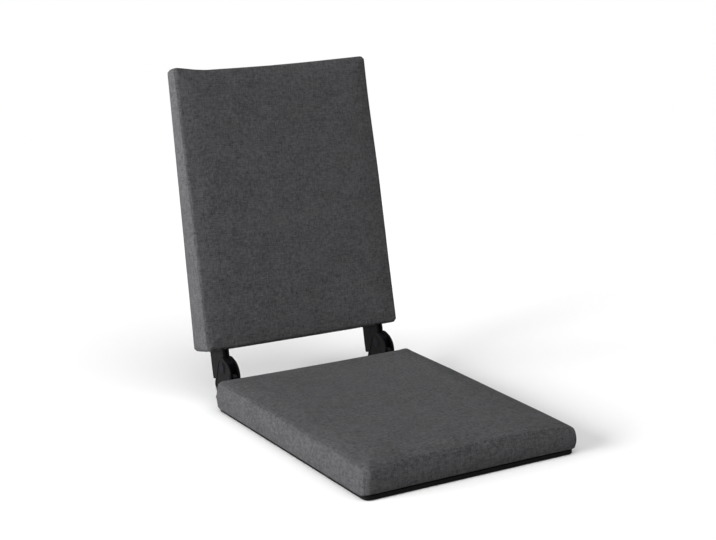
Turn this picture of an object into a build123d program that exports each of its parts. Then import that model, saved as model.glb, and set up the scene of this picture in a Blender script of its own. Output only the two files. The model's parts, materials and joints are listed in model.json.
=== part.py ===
"""Folding floor chair: a boxy seat pad on a thin black base, and a tapered back pad on two ratchet hinges.

Frame: +X to the sitter's left, +Y to the rear, +Z up. The origin is on the floor, under the centre
of the seat. All lengths are millimetres and all angles are degrees.
"""

import os
from math import acos, atan, atan2, cos, degrees, hypot, radians, sin, sqrt

from build123d import *

os.makedirs("parts", exist_ok=True)

# ---------------------------------------------------------------- driving sizes
# seat pad and the base under it
seat_width = 400.0
seat_length = 500.0
seat_pad_height = 48.5
seat_crown = 2.5
seat_side_draw = 1.5
seat_end_draw = 1.5
seat_corner_radius = 12.0
seat_edge_radius = 10.0
seat_foot_radius = 2.5
seat_panel_thickness = 9.0
hem_width = 26.0
base_board_thickness = 7.0
base_board_inset = 1.0
base_board_chamfer = 0.8
grip_sheet_thickness = 1.0
grip_sheet_inset = 9.0

# back pad, measured along and square to its own lean
back_width = 396.0
back_length = 509.0
back_low_thickness = 66.0
back_top_thickness = 36.0
back_tilt = 13.2
back_crown = 2.5
back_side_draw = 1.5
back_low_draw = 0.5
back_top_draw = 7.0
back_corner_radius = 9.0
back_edge_radius = 8.0
back_rear_edge_radius = 6.0
back_panel_thickness = 7.0
back_wadding_thickness = 3.5
panel_corner_radius = 8.0
panel_end_gap = 1.5

# soft covering
cover_thickness = 1.4
soft_clearance = 0.3
slot_clearance = 0.4

# hinge places: the pivot line behind and above the seat, and the back pad's start above the pivot line
hinge_inset = 38.0
pivot_behind_seat = 36.0
pivot_above_seat = 6.5
pivot_to_back_pad = 32.0
fold_gap = 1.0

# hinge layers, from the gear outwards
gear_thickness = 8.0
arm_plate_thickness = 2.5
side_play = 0.1
washer_thickness = 0.9
cheek_thickness = 2.5

# pivot pin
running_clearance = 0.05
press_clearance = 0.01
pivot_pin_radius = 5.0
pivot_head_radius = 8.0
washer_radius = 15.0
low_head_height = 0.8
low_head_edge = 0.4

# cheek outline
cheek_head_radius = 20.0
cheek_nose_radius = 30.0
cheek_nose_back = 4.4
cheek_nose_drop = 12.0
cheek_heel_rear = 30.0
cheek_heel_drop = 36.0
cheek_foot_rear = 20.0
cheek_blend_radius = 8.0
cheek_edge = 0.5
cheek_rim = 5.0
cheek_dish_depth = 0.7
cheek_boss_radius = 11.0

# arm outline
arm_front_reach = 3.5
arm_tail_drop = 20.0
arm_hub_radius = 18.0
arm_length_in_pad = 99.0
arm_top_width = 20.0
arm_corner_radius = 4.0
arm_tail_radius = 3.0

# ratchet gear
tooth_crest_radius = 21.5
tooth_depth = 2.4
tooth_pitch = 10.0
tooth_count = 18
first_tooth_angle = 155.0
gear_shank_height = 31.0
gear_shank_front = 4.0
gear_shank_rear = 40.0
gear_rivet_radius = 3.0
gear_rivet_head = 4.4
gear_rivet_sink = 1.4
gear_rivet_height = 23.0
gear_rivet_first = 13.0
gear_rivet_spacing = 18.0

# pawl and its spring
pawl_pin_radius = 3.0
pawl_head_radius = 5.0
pawl_pin_forward = 27.0
pawl_pin_drop = 11.0
pawl_boss_radius = 6.0
pawl_side_gap = 0.25
pawl_depth = 7.0
pawl_ride_gap = 0.3
spring_thickness = 0.5
spring_width = 6.0
spring_hook_start = 110.0
spring_contact = 14.0
spring_gap = 0.3

# tie between the cheeks
tie_tube_radius = 5.0
tie_rivet_radius = 3.0
tie_head_radius = 5.0
tie_forward = 26.0
tie_drop = 42.0

# foot plates
foot_plate_thickness = 4.0
foot_plate_width = 30.0
foot_plate_reach = 92.0
foot_plate_corner = 5.0
pocket_clearance = 0.2

# seat bolts, tee nuts and base screws
seat_bolt_radius = 3.0
seat_bolt_hole = 3.2
seat_bolt_head = 6.0
seat_bolt_sink = 2.8
seat_bolt_setback = 36.0
seat_bolt_spacing = 42.0
tee_flange_radius = 9.5
tee_flange_thickness = 1.2
tee_barrel_radius = 4.0
tee_barrel_length = 7.0
thread_clearance = 0.02
screw_radius = 2.0
screw_length = 14.0
screw_head_radius = 4.0
screw_sink = 2.0
screw_side_inset = 50.0
screw_front_inset = 40.0
screw_rear_inset = 130.0
screw_rows = 4

# back bolts and weld nuts
back_bolt_radius = 2.5
back_bolt_hole = 2.7
back_bolt_head = 6.0
back_bolt_head_height = 2.4
back_bolt_rise = 18.0
back_bolt_spacing = 32.0
back_bolt_count = 3
weld_nut_radius = 3.7
weld_nut_length = 5.0

# ---------------------------------------------------------------- worked-out places
board_low = grip_sheet_thickness
board_top = board_low + base_board_thickness
seat_top = board_top + seat_pad_height
seat_rear = seat_length / 2
seat_front = -seat_length / 2
hinge_centre_x = seat_width / 2 - hinge_inset
hem_top = board_top + cover_thickness
seat_panel_top = hem_top + seat_panel_thickness
pivot_y = seat_rear + pivot_behind_seat
pivot_z = seat_top + pivot_above_seat
tilt = radians(back_tilt)
skin = cover_thickness + soft_clearance

back_front = pivot_above_seat - fold_gap
back_low_end = pivot_to_back_pad
back_top_end = back_low_end + back_length
rear_at_low_end = back_low_thickness - back_front
rear_at_top_end = back_top_thickness - back_front
rear_slope = (rear_at_top_end - rear_at_low_end) / back_length
panel_lean = tilt + atan(rear_slope)

gear_face = gear_thickness / 2
arm_face = gear_face + arm_plate_thickness
washer_inside = arm_face + side_play
cheek_inside = washer_inside + washer_thickness
cheek_outside = cheek_inside + cheek_thickness
sides = (("left", -1), ("right", 1))
from_bottom = (Align.CENTER, Align.CENTER, Align.MIN)
from_top = (Align.CENTER, Align.CENTER, Align.MAX)
full_turn = 360

# The back's own plane: X across, Y up along the back, Z towards the sitter, from the pivot line.
back_plane = Plane(origin=(0, pivot_y, pivot_z), x_dir=(1, 0, 0), z_dir=(0, -cos(tilt), sin(tilt)))


def rear_face(s):
    """How far behind the pivot line the back pad's rear face lies, at height s up the back."""
    return rear_at_low_end + rear_slope * (s - back_low_end)


def panel_rear(s):
    """How far behind the pivot line the back panel's rear face lies, at height s."""
    return rear_face(s) - cover_thickness - back_wadding_thickness


def panel_front(s):
    """How far behind the pivot line the back panel's front face lies, at height s."""
    return panel_rear(s) - back_panel_thickness


def fixed_plane(x):
    """Side view of the hinge at a given X: Y to the rear, Z up, from the pivot line."""
    return Plane(origin=(x, pivot_y, pivot_z), x_dir=(0, 1, 0), z_dir=(1, 0, 0))


def arm_plane(x):
    """Side view that leans with the back: first axis to the rear, second up along the back."""
    return Plane(origin=(x, pivot_y, pivot_z), x_dir=(0, cos(tilt), -sin(tilt)), z_dir=(1, 0, 0))


def low_x(side, near, far):
    """The lower X of a layer that lies from near to far of the hinge's centre, outwards."""
    return min(side * hinge_centre_x + side * near, side * hinge_centre_x + side * far)


def polar(radius, angle):
    return (radius * cos(radians(angle)), radius * sin(radians(angle)))


def meet(centre_a, radius_a, centre_b, radius_b):
    """The higher of the two points where two circles cross."""
    ax, ay = centre_a
    bx, by = centre_b
    gap = hypot(bx - ax, by - ay)
    along = (radius_a**2 - radius_b**2 + gap**2) / (2 * gap)
    off = sqrt(radius_a**2 - along**2)
    ux, uy = (bx - ax) / gap, (by - ay) / gap
    points = [(ax + along * ux - k * off * uy, ay + along * uy + k * off * ux) for k in (1, -1)]
    return max(points, key=lambda point: point[1])


def touch(point, radius, side):
    """Where a straight line from a point touches a circle round the pivot; side is 1 or -1."""
    turn = acos(radius / hypot(*point))
    return polar(radius, degrees(atan2(point[1], point[0]) + side * turn))


def write(part, name):
    part.label = name
    export_step(part, f"parts/{name}.step")


# ---------------------------------------------------------------- shared forms
def pad(base, width, start, end, top, crown, low_start, low_end, draws, radii):
    """A crowned pad with drawn-in sides.

    start and end are its ends along the base plane's Y, top is the height of its crowned face at
    the rim, low_start and low_end are the heights of its flat face there. draws are how far the
    sides, the start and the end pull in at mid span. radii round the upright corners, the crowned
    face's rim and the flat face's rim.
    """
    side_draw, start_draw, end_draw = draws
    corner_radius, top_radius, low_radius = radii
    margin = 5.0
    rim_crown = 0.4
    half = width / 2
    reach = half + margin
    middle = (start + end) / 2
    slope = (low_end - low_start) / (end - start)
    floor = min(low_start, low_end) - margin
    with BuildPart() as body:
        for place, rise in ((start - margin, rim_crown), (middle, crown), (end + margin, rim_crown)):
            low = low_start + slope * (place - start)
            origin = base.from_local_coords((0, place, 0))
            with BuildSketch(Plane(origin=origin, x_dir=base.x_dir, z_dir=-base.y_dir)):
                with BuildLine():
                    Polyline((-reach, top), (-reach, low), (reach, low), (reach, top))
                    ThreePointArc((reach, top), (0, top + rise), (-reach, top))
                make_face()
        loft()
        with BuildSketch(base.offset(floor)):
            with BuildLine():
                ThreePointArc((-half, start), (0, start + start_draw), (half, start))
                ThreePointArc((half, start), (half - side_draw, middle), (half, end))
                ThreePointArc((half, end), (0, end - end_draw), (-half, end))
                ThreePointArc((-half, end), (-half + side_draw, middle), (-half, start))
            make_face()
        extrude(amount=top + crown + margin - floor, mode=Mode.INTERSECT)
        upright = Axis(base.origin, base.z_dir)
        fillet(body.edges().filter_by(upright), corner_radius)
        fillet(body.faces().sort_by(upright)[-1].edges(), top_radius)
        if low_radius:
            fillet(body.faces().sort_by(upright)[0].edges(), low_radius)
    return body.part


def seat_form(inset, low, low_radius):
    """The seat pad's form drawn in all round by inset, with its flat face at height low."""
    return pad(
        Plane.XY, seat_width - 2 * inset, seat_front + inset, seat_rear - inset, seat_top - inset,
        seat_crown, low, low, (seat_side_draw, seat_end_draw, seat_end_draw),
        (seat_corner_radius - inset, seat_edge_radius - inset, low_radius),
    )


def back_form(inset):
    """The back pad's form drawn in all round by inset."""
    return pad(
        back_plane, back_width - 2 * inset, back_low_end + inset, back_top_end - inset,
        back_front - inset, back_crown, inset - rear_at_low_end, inset - rear_at_top_end,
        (back_side_draw, back_low_draw, back_top_draw),
        (back_corner_radius - inset, back_edge_radius - inset, back_rear_edge_radius - inset),
    )


seat_outer = seat_form(0, board_top, seat_foot_radius)
seat_inner = seat_form(cover_thickness, hem_top, seat_foot_radius - cover_thickness)
seat_core = seat_form(skin, seat_panel_top + soft_clearance, 0)
back_outer = back_form(0)
back_inner = back_form(cover_thickness)
back_core = back_form(skin)

foot_front = seat_rear - foot_plate_reach
foot_rear = pivot_y + cheek_foot_rear
foot_middle = (foot_front + foot_rear) / 2
foot_low = board_top - foot_plate_thickness
bolt_rows = [seat_rear - seat_bolt_setback - k * seat_bolt_spacing for k in range(2)]
seat_bolt_spots = [(side * hinge_centre_x, y) for _, side in sides for y in bolt_rows]
screw_x = seat_width / 2 - screw_side_inset
screw_run = seat_length - screw_front_inset - screw_rear_inset
screw_lines = [seat_front + screw_front_inset + k * screw_run / (screw_rows - 1) for k in range(screw_rows)]
screw_spots = [(side * screw_x, y) for _, side in sides for y in screw_lines]


def spots(places, z):
    return [(x, y, z) for x, y in places]


# ---------------------------------------------------------------- seat
with BuildPart() as grip_sheet:
    with BuildSketch():
        RectangleRounded(
            seat_width - 2 * (base_board_inset + grip_sheet_inset),
            seat_length - 2 * (base_board_inset + grip_sheet_inset),
            seat_corner_radius - base_board_inset,
        )
    extrude(amount=grip_sheet_thickness)
write(grip_sheet.part, "grip_sheet")

with BuildPart() as base_board:
    with BuildSketch(Plane.XY.offset(board_low)):
        RectangleRounded(
            seat_width - 2 * base_board_inset,
            seat_length - 2 * base_board_inset,
            seat_corner_radius - base_board_inset,
        )
    extrude(amount=base_board_thickness)
    chamfer(base_board.faces().sort_by(Axis.Z)[0].edges(), base_board_chamfer)
    with BuildSketch(Plane.XY.offset(foot_low)):
        with Locations(*[(side * hinge_centre_x, foot_middle) for _, side in sides]):
            RectangleRounded(
                foot_plate_width + 2 * pocket_clearance,
                foot_rear - foot_front + 2 * pocket_clearance,
                foot_plate_corner + pocket_clearance,
            )
    extrude(amount=foot_plate_thickness, mode=Mode.SUBTRACT)
    with Locations(*spots(seat_bolt_spots, board_low)):
        Cylinder(seat_bolt_hole, base_board_thickness, align=from_bottom, mode=Mode.SUBTRACT)
        Cone(seat_bolt_head, seat_bolt_radius, seat_bolt_sink, align=from_bottom, mode=Mode.SUBTRACT)
    with Locations(*spots(screw_spots, board_low)):
        Cylinder(screw_radius, base_board_thickness, align=from_bottom, mode=Mode.SUBTRACT)
        Cone(screw_head_radius, screw_radius, screw_sink, align=from_bottom, mode=Mode.SUBTRACT)
write(base_board.part, "base_board")

with BuildPart() as seat_cover:
    add(seat_outer)
    add(seat_inner, mode=Mode.SUBTRACT)
    with BuildSketch(Plane.XY.offset(board_top)):
        RectangleRounded(seat_width - 2 * hem_width, seat_length - 2 * hem_width, seat_corner_radius)
    extrude(amount=cover_thickness, mode=Mode.SUBTRACT)
write(seat_cover.part, "seat_cover")

with BuildPart() as seat_panel:
    with BuildSketch(Plane.XY.offset(hem_top)):
        RectangleRounded(
            seat_width - 2 * (skin + seat_side_draw + panel_end_gap),
            seat_length - 2 * (skin + seat_end_draw + panel_end_gap),
            seat_corner_radius - skin,
        )
    extrude(amount=seat_panel_thickness)
    with Locations(*spots(seat_bolt_spots, hem_top)):
        Cylinder(seat_bolt_hole, seat_panel_thickness, align=from_bottom, mode=Mode.SUBTRACT)
    with Locations(*spots(seat_bolt_spots, seat_panel_top)):
        Cylinder(tee_barrel_radius, tee_barrel_length, align=from_top, mode=Mode.SUBTRACT)
    with Locations(*spots(screw_spots, board_low)):
        Cylinder(screw_radius, screw_length, align=from_bottom, mode=Mode.SUBTRACT)
write(seat_panel.part, "seat_panel")

with BuildPart() as seat_foam:
    add(seat_core)
    with Locations(*spots(seat_bolt_spots, seat_panel_top)):
        Cylinder(
            tee_flange_radius + soft_clearance,
            tee_flange_thickness + soft_clearance,
            align=from_bottom,
            mode=Mode.SUBTRACT,
        )
write(seat_foam.part, "seat_foam")

with BuildPart() as seat_bolts:
    with Locations(*spots(seat_bolt_spots, board_low)):
        Cone(seat_bolt_head, seat_bolt_radius, seat_bolt_sink, align=from_bottom)
        Cylinder(seat_bolt_radius, seat_panel_top + tee_flange_thickness - board_low, align=from_bottom)
write(seat_bolts.part, "seat_bolts")

with BuildPart() as seat_tee_nuts:
    with Locations(*spots(seat_bolt_spots, seat_panel_top)):
        Cylinder(tee_flange_radius, tee_flange_thickness, align=from_bottom)
        Cylinder(tee_barrel_radius, tee_barrel_length, align=from_top)
        Cylinder(
            seat_bolt_radius + thread_clearance,
            2 * (tee_flange_thickness + tee_barrel_length),
            mode=Mode.SUBTRACT,
        )
write(seat_tee_nuts.part, "seat_tee_nuts")

with BuildPart() as base_screws:
    with Locations(*spots(screw_spots, board_low)):
        Cone(screw_head_radius, screw_radius, screw_sink, align=from_bottom)
        Cylinder(screw_radius, screw_length, align=from_bottom)
write(base_screws.part, "base_screws")

# ---------------------------------------------------------------- hinge outlines
nose_centre = (-cheek_nose_back, -cheek_nose_drop)
nose_front = -cheek_nose_back - cheek_nose_radius
cheek_foot = board_top - pivot_z
pawl_pin_spot = (-pawl_pin_forward, -pawl_pin_drop)
tie_spot = (-tie_forward, -tie_drop)


def cheek_sketch(rim):
    """The cheek's side outline, drawn in all round by rim."""
    head_radius = cheek_head_radius - rim
    nose_radius = cheek_nose_radius - rim
    front = nose_front + rim
    low = cheek_foot + rim
    heel = (cheek_heel_rear - rim, -cheek_heel_drop)
    neck = meet(nose_centre, nose_radius, (0, 0), head_radius)
    neck_angle = degrees(atan2(neck[1] - nose_centre[1], neck[0] - nose_centre[0]))
    nose_middle = polar(nose_radius, (180 + neck_angle) / 2)
    head_rear = touch(heel, head_radius, 1)
    with BuildSketch() as outline:
        with BuildLine():
            Polyline((front, low), (front, -cheek_nose_drop))
            ThreePointArc(
                (front, -cheek_nose_drop),
                (nose_centre[0] + nose_middle[0], nose_centre[1] + nose_middle[1]),
                neck,
            )
            ThreePointArc(neck, (0, head_radius), head_rear)
            Polyline(head_rear, heel, (cheek_foot_rear - rim, low), (front, low))
        make_face()
        for corner in (neck, heel):
            fillet(outline.vertices().sort_by_distance((*corner, 0))[0], cheek_blend_radius)
    return outline.sketch


with BuildSketch() as dish_form:
    add(cheek_sketch(cheek_rim))
    with Locations((0, 0), pawl_pin_spot, tie_spot):
        Circle(cheek_boss_radius, mode=Mode.SUBTRACT)

# The arm's outline, in its leaning side view.
arm_rear = panel_front(back_low_end)
arm_top = back_low_end + arm_length_in_pad
tail_reach = hypot(arm_rear, arm_tail_drop)
hub_low = touch((arm_rear, -arm_tail_drop), arm_hub_radius, -1)
hub_high = (-arm_front_reach, sqrt(arm_hub_radius**2 - arm_front_reach**2))


def arm_sketch(grow):
    """The arm's side outline, its edges moved out by grow."""
    with BuildSketch() as outline:
        with BuildLine():
            ThreePointArc(hub_low, (-arm_hub_radius, 0), hub_high)
            Polyline(
                hub_high,
                (-arm_front_reach, back_low_end),
                (panel_front(arm_top) - arm_top_width, arm_top),
                (panel_front(arm_top), arm_top),
                (arm_rear, back_low_end),
                (arm_rear, -arm_tail_drop),
                hub_low,
            )
        make_face()
        for corner, radius in (
            ((arm_rear, -arm_tail_drop, 0), arm_tail_radius),
            ((panel_front(arm_top), arm_top, 0), arm_corner_radius),
            ((panel_front(arm_top) - arm_top_width, arm_top, 0), arm_corner_radius),
        ):
            fillet(outline.vertices().sort_by_distance(corner)[0], radius)
        if grow:
            offset(amount=grow, kind=Kind.ARC)
    return outline.sketch


def rivet_planes(x, facing):
    """Planes square to X where the gear's rivets end at a given X, facing along +X or -X."""
    ends = [arm_plane(x).from_local_coords((r, s, 0)) for r, s in rivet_spots]
    return [Plane(origin=end, z_dir=(facing, 0, 0)) for end in ends]


def back_bolt_planes(middle_x):
    """Planes on the back panel's rear face where one arm's bolts go through, facing rearwards."""
    rows = [back_low_end + back_bolt_rise + k * back_bolt_spacing for k in range(back_bolt_count)]
    side_view = arm_plane(middle_x)
    rearwards = (0, cos(panel_lean), -sin(panel_lean))
    return [Plane(origin=side_view.from_local_coords((panel_rear(s), s, 0)), z_dir=rearwards) for s in rows]


def tooth_points():
    """The gear's saw-tooth outline: each tooth has a radial face on its low-angle side."""
    root = tooth_crest_radius - tooth_depth
    points = []
    for k in range(tooth_count):
        angle = first_tooth_angle + k * tooth_pitch
        points += [polar(root, angle), polar(tooth_crest_radius, angle)]
    points.append(polar(root, first_tooth_angle + tooth_count * tooth_pitch))
    return points


with BuildSketch() as gear_form:
    teeth = tooth_points()
    with BuildLine():
        Polyline(
            *teeth,
            (gear_shank_rear, 0),
            (gear_shank_rear, gear_shank_height),
            (gear_shank_front, gear_shank_height),
            (gear_shank_front, arm_hub_radius),
            teeth[0],
        )
    make_face()
    Circle(pivot_pin_radius + running_clearance, mode=Mode.SUBTRACT)

rivet_spots = [(gear_rivet_first + k * gear_rivet_spacing, gear_rivet_height) for k in range(2)]

# The pawl's outline: its upper side just clears the teeth, its end face points at the pivot.
tip_radius = tooth_crest_radius + pawl_ride_gap
pin_distance = hypot(*pawl_pin_spot)
pin_angle = degrees(atan2(-pawl_pin_drop, -pawl_pin_forward))
tip_angle = pin_angle + degrees(acos(tip_radius / pin_distance))
tip = polar(tip_radius, tip_angle)
bar_x, bar_y = polar(1, tip_angle + 90)
away_x, away_y = polar(1, tip_angle)


def on_pawl(along, below):
    """A point on the pawl: along its bar from the pin, and below its upper side."""
    return (
        pawl_pin_spot[0] + along * bar_x + below * away_x,
        pawl_pin_spot[1] + along * bar_y + below * away_y,
    )


tip_along = sqrt(pin_distance**2 - tip_radius**2)
with BuildSketch() as pawl_form:
    with BuildLine():
        Polyline(
            on_pawl(0, 0),
            tip,
            on_pawl(tip_along, pawl_depth),
            on_pawl(0, pawl_boss_radius),
            close=True,
        )
    make_face()
    with Locations(pawl_pin_spot):
        Circle(pawl_boss_radius)
        Circle(pawl_pin_radius + running_clearance, mode=Mode.SUBTRACT)

hook_radius = tie_tube_radius + soft_clearance + spring_thickness / 2
contact = on_pawl(spring_contact, pawl_depth + spring_gap + spring_thickness / 2)
with BuildSketch() as spring_form:
    with BuildLine():
        hook = CenterArc(tie_spot, hook_radius, spring_hook_start, full_turn - spring_hook_start)
        TangentArc(hook @ 1, contact, tangent=hook % 1)
    trace(line_width=spring_thickness)

# ---------------------------------------------------------------- hinges
for name, side in sides:
    middle_x = side * hinge_centre_x

    with BuildPart() as foot_plate:
        with BuildSketch(Plane.XY.offset(foot_low)):
            with Locations((middle_x, foot_middle)):
                RectangleRounded(foot_plate_width, foot_rear - foot_front, foot_plate_corner)
            with Locations(*[(middle_x, y) for y in bolt_rows]):
                Circle(seat_bolt_hole, mode=Mode.SUBTRACT)
        extrude(amount=foot_plate_thickness)
    write(foot_plate.part, f"{name}_foot_plate")

    for cheek_name, place in (("inner", -1), ("outer", 1)):
        outside_x = middle_x + side * place * cheek_outside
        outward = Axis((outside_x, pivot_y, pivot_z), (side * place, 0, 0))
        with BuildPart() as cheek:
            with BuildSketch(fixed_plane(low_x(side, place * cheek_inside, place * cheek_outside))):
                add(cheek_sketch(0))
            extrude(amount=cheek_thickness)
            chamfer(cheek.faces().sort_by(outward)[-1].edges(), cheek_edge)
            dish_x = low_x(side, place * (cheek_outside - cheek_dish_depth), place * cheek_outside)
            with BuildSketch(fixed_plane(dish_x)):
                add(dish_form.sketch)
            extrude(amount=cheek_dish_depth, mode=Mode.SUBTRACT)
            with BuildSketch(fixed_plane(middle_x)):
                Circle(pivot_pin_radius + press_clearance)
                with Locations(pawl_pin_spot):
                    Circle(pawl_pin_radius + press_clearance)
                with Locations(tie_spot):
                    Circle(tie_rivet_radius + press_clearance)
            extrude(amount=2 * cheek_outside, both=True, mode=Mode.SUBTRACT)
        write(cheek.part, f"{name}_{cheek_name}_cheek")

    for pin_name, spot, radius, head_radius in (
        ("pivot_pin", (0, 0), pivot_pin_radius, pivot_head_radius),
        ("pawl_pin", pawl_pin_spot, pawl_pin_radius, pawl_head_radius),
        ("tie_rivet", tie_spot, tie_rivet_radius, tie_head_radius),
    ):
        with BuildPart() as pin:
            with BuildSketch(fixed_plane(middle_x)):
                with Locations(spot):
                    Circle(radius)
            extrude(amount=cheek_outside, both=True)
            for end in (-1, 1):
                with BuildSketch(fixed_plane(middle_x + end * cheek_outside)):
                    with Locations(spot):
                        Circle(head_radius)
                extrude(amount=end * low_head_height)
                chamfer(pin.faces().sort_by(Axis.X)[-1 if end > 0 else 0].edges(), low_head_edge)
        write(pin.part, f"{name}_{pin_name}")

    with BuildPart() as washers:
        for place in (-1, 1):
            with BuildSketch(fixed_plane(low_x(side, place * washer_inside, place * cheek_inside))):
                Circle(washer_radius)
                Circle(pivot_pin_radius + running_clearance, mode=Mode.SUBTRACT)
            extrude(amount=washer_thickness)
    write(washers.part, f"{name}_pivot_washers")

    with BuildPart() as tie_spacer:
        with BuildSketch(fixed_plane(middle_x)):
            with Locations(tie_spot):
                Circle(tie_tube_radius)
                Circle(tie_rivet_radius + running_clearance, mode=Mode.SUBTRACT)
        extrude(amount=cheek_inside, both=True)
    write(tie_spacer.part, f"{name}_tie_spacer")

    with BuildPart() as pawl:
        with BuildSketch(fixed_plane(middle_x)):
            add(pawl_form.sketch)
        extrude(amount=gear_face - pawl_side_gap, both=True)
    write(pawl.part, f"{name}_pawl")

    with BuildPart() as pawl_spring:
        with BuildSketch(fixed_plane(middle_x)):
            add(spring_form.sketch)
        extrude(amount=spring_width / 2, both=True)
    write(pawl_spring.part, f"{name}_pawl_spring")

    with BuildPart() as arm:
        with BuildSketch(arm_plane(middle_x)):
            add(arm_sketch(0))
        extrude(amount=arm_face, both=True)
        with BuildSketch(arm_plane(middle_x)):
            with BuildLine():
                Polyline(
                    (-tail_reach, -tail_reach),
                    (arm_rear - arm_plate_thickness, -tail_reach),
                    (arm_rear - arm_plate_thickness, back_low_end),
                    (panel_front(arm_top) - arm_plate_thickness, arm_top),
                    (-tail_reach, arm_top),
                    close=True,
                )
            make_face()
        extrude(amount=gear_face, both=True, mode=Mode.SUBTRACT)
        with BuildSketch(arm_plane(middle_x)):
            Circle(pivot_pin_radius + running_clearance)
            with Locations(*rivet_spots):
                Circle(gear_rivet_radius)
        extrude(amount=arm_face, both=True, mode=Mode.SUBTRACT)
        for end in (-1, 1):
            with Locations(*rivet_planes(middle_x + end * arm_face, -end)):
                Cone(
                    gear_rivet_head,
                    gear_rivet_radius,
                    gear_rivet_sink,
                    align=from_bottom,
                    mode=Mode.SUBTRACT,
                )
        with Locations(*back_bolt_planes(middle_x)):
            Cylinder(
                back_bolt_hole,
                2 * (back_panel_thickness + arm_plate_thickness),
                mode=Mode.SUBTRACT,
            )
    write(arm.part, f"{name}_arm")

    with BuildPart() as gear:
        with BuildSketch(arm_plane(middle_x)):
            add(gear_form.sketch)
            with Locations(*rivet_spots):
                Circle(gear_rivet_radius, mode=Mode.SUBTRACT)
        extrude(amount=gear_face, both=True)
    write(gear.part, f"{name}_gear")

    with BuildPart() as gear_rivets:
        with BuildSketch(arm_plane(middle_x)):
            with Locations(*rivet_spots):
                Circle(gear_rivet_radius)
        extrude(amount=arm_face, both=True)
        for end in (-1, 1):
            with Locations(*rivet_planes(middle_x + end * arm_face, -end)):
                Cone(gear_rivet_head, gear_rivet_radius, gear_rivet_sink, align=from_bottom)
    write(gear_rivets.part, f"{name}_gear_rivets")

# ---------------------------------------------------------------- back
panel_low = back_low_end + skin + back_low_draw + panel_end_gap
panel_top = back_top_end - skin - back_top_draw - panel_end_gap
panel_width = back_width - 2 * (skin + back_side_draw + panel_end_gap)
all_bolt_planes = [plane for _, side in sides for plane in back_bolt_planes(side * hinge_centre_x)]

with BuildPart() as back_panel:
    with BuildSketch(arm_plane(0)):
        with BuildLine():
            Polyline(
                (panel_front(panel_low), panel_low),
                (panel_front(panel_top), panel_top),
                (panel_rear(panel_top), panel_top),
                (panel_rear(panel_low), panel_low),
                close=True,
            )
        make_face()
    extrude(amount=panel_width / 2, both=True)
    upright = Axis(back_plane.origin, back_plane.z_dir)
    fillet(back_panel.edges().filter_by(upright, tolerance=5), panel_corner_radius)
    with Locations(*all_bolt_planes):
        Cylinder(back_bolt_hole, 2 * back_panel_thickness + 1, mode=Mode.SUBTRACT)
write(back_panel.part, "back_panel")

with BuildPart() as back_foam:
    add(back_core)
    with BuildSketch(arm_plane(0)):
        with BuildLine():
            Polyline(
                (panel_front(0) - soft_clearance, 0),
                (panel_front(back_top_end) - soft_clearance, back_top_end),
                (-back_low_thickness, back_top_end),
                (-back_low_thickness, 0),
                close=True,
            )
        make_face()
    extrude(amount=back_width, both=True, mode=Mode.INTERSECT)
    for _, side in sides:
        with BuildSketch(arm_plane(side * hinge_centre_x)):
            add(arm_sketch(slot_clearance))
        extrude(amount=arm_face + slot_clearance, both=True, mode=Mode.SUBTRACT)
write(back_foam.part, "back_foam")

with BuildPart() as back_wadding:
    add(back_core)
    with BuildSketch(arm_plane(0)):
        with BuildLine():
            Polyline(
                (panel_rear(0) + soft_clearance, 0),
                (panel_rear(back_top_end) + soft_clearance, back_top_end),
                (2 * back_low_thickness, back_top_end),
                (2 * back_low_thickness, 0),
                close=True,
            )
        make_face()
    extrude(amount=back_width, both=True, mode=Mode.INTERSECT)
    with Locations(*all_bolt_planes):
        Cylinder(
            back_bolt_head + soft_clearance,
            back_bolt_head_height + soft_clearance,
            align=from_bottom,
            mode=Mode.SUBTRACT,
        )
write(back_wadding.part, "back_wadding")

with BuildPart() as back_cover:
    add(back_outer)
    add(back_inner, mode=Mode.SUBTRACT)
    for _, side in sides:
        with BuildSketch(arm_plane(side * hinge_centre_x)):
            add(arm_sketch(slot_clearance))
        extrude(amount=arm_face + slot_clearance, both=True, mode=Mode.SUBTRACT)
write(back_cover.part, "back_cover")

with BuildPart() as back_bolts:
    with Locations(*all_bolt_planes):
        Cylinder(back_bolt_head, back_bolt_head_height, align=from_bottom)
        Cylinder(
            back_bolt_radius,
            back_panel_thickness + arm_plate_thickness + weld_nut_length,
            align=from_top,
        )
write(back_bolts.part, "back_bolts")

with BuildPart() as back_nuts:
    nut_depth = back_panel_thickness + arm_plate_thickness
    with Locations(*[plane.offset(-nut_depth) for plane in all_bolt_planes]):
        Cylinder(weld_nut_radius, weld_nut_length, align=from_top)
        Cylinder(back_bolt_radius + thread_clearance, 2 * weld_nut_length + 1, mode=Mode.SUBTRACT)
write(back_nuts.part, "back_nuts")
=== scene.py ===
"""Folding floor chair: cloth pads, materials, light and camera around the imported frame.

A pad is shaped in mm, in its own axes: X across it, Y along it from its start to its end, and Z out of
its crowned face. Everything else is in metres."""

import json
import math

import bmesh
import bpy
import numpy as np
from mathutils import Matrix, Vector, noise
from mathutils.kdtree import KDTree


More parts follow.
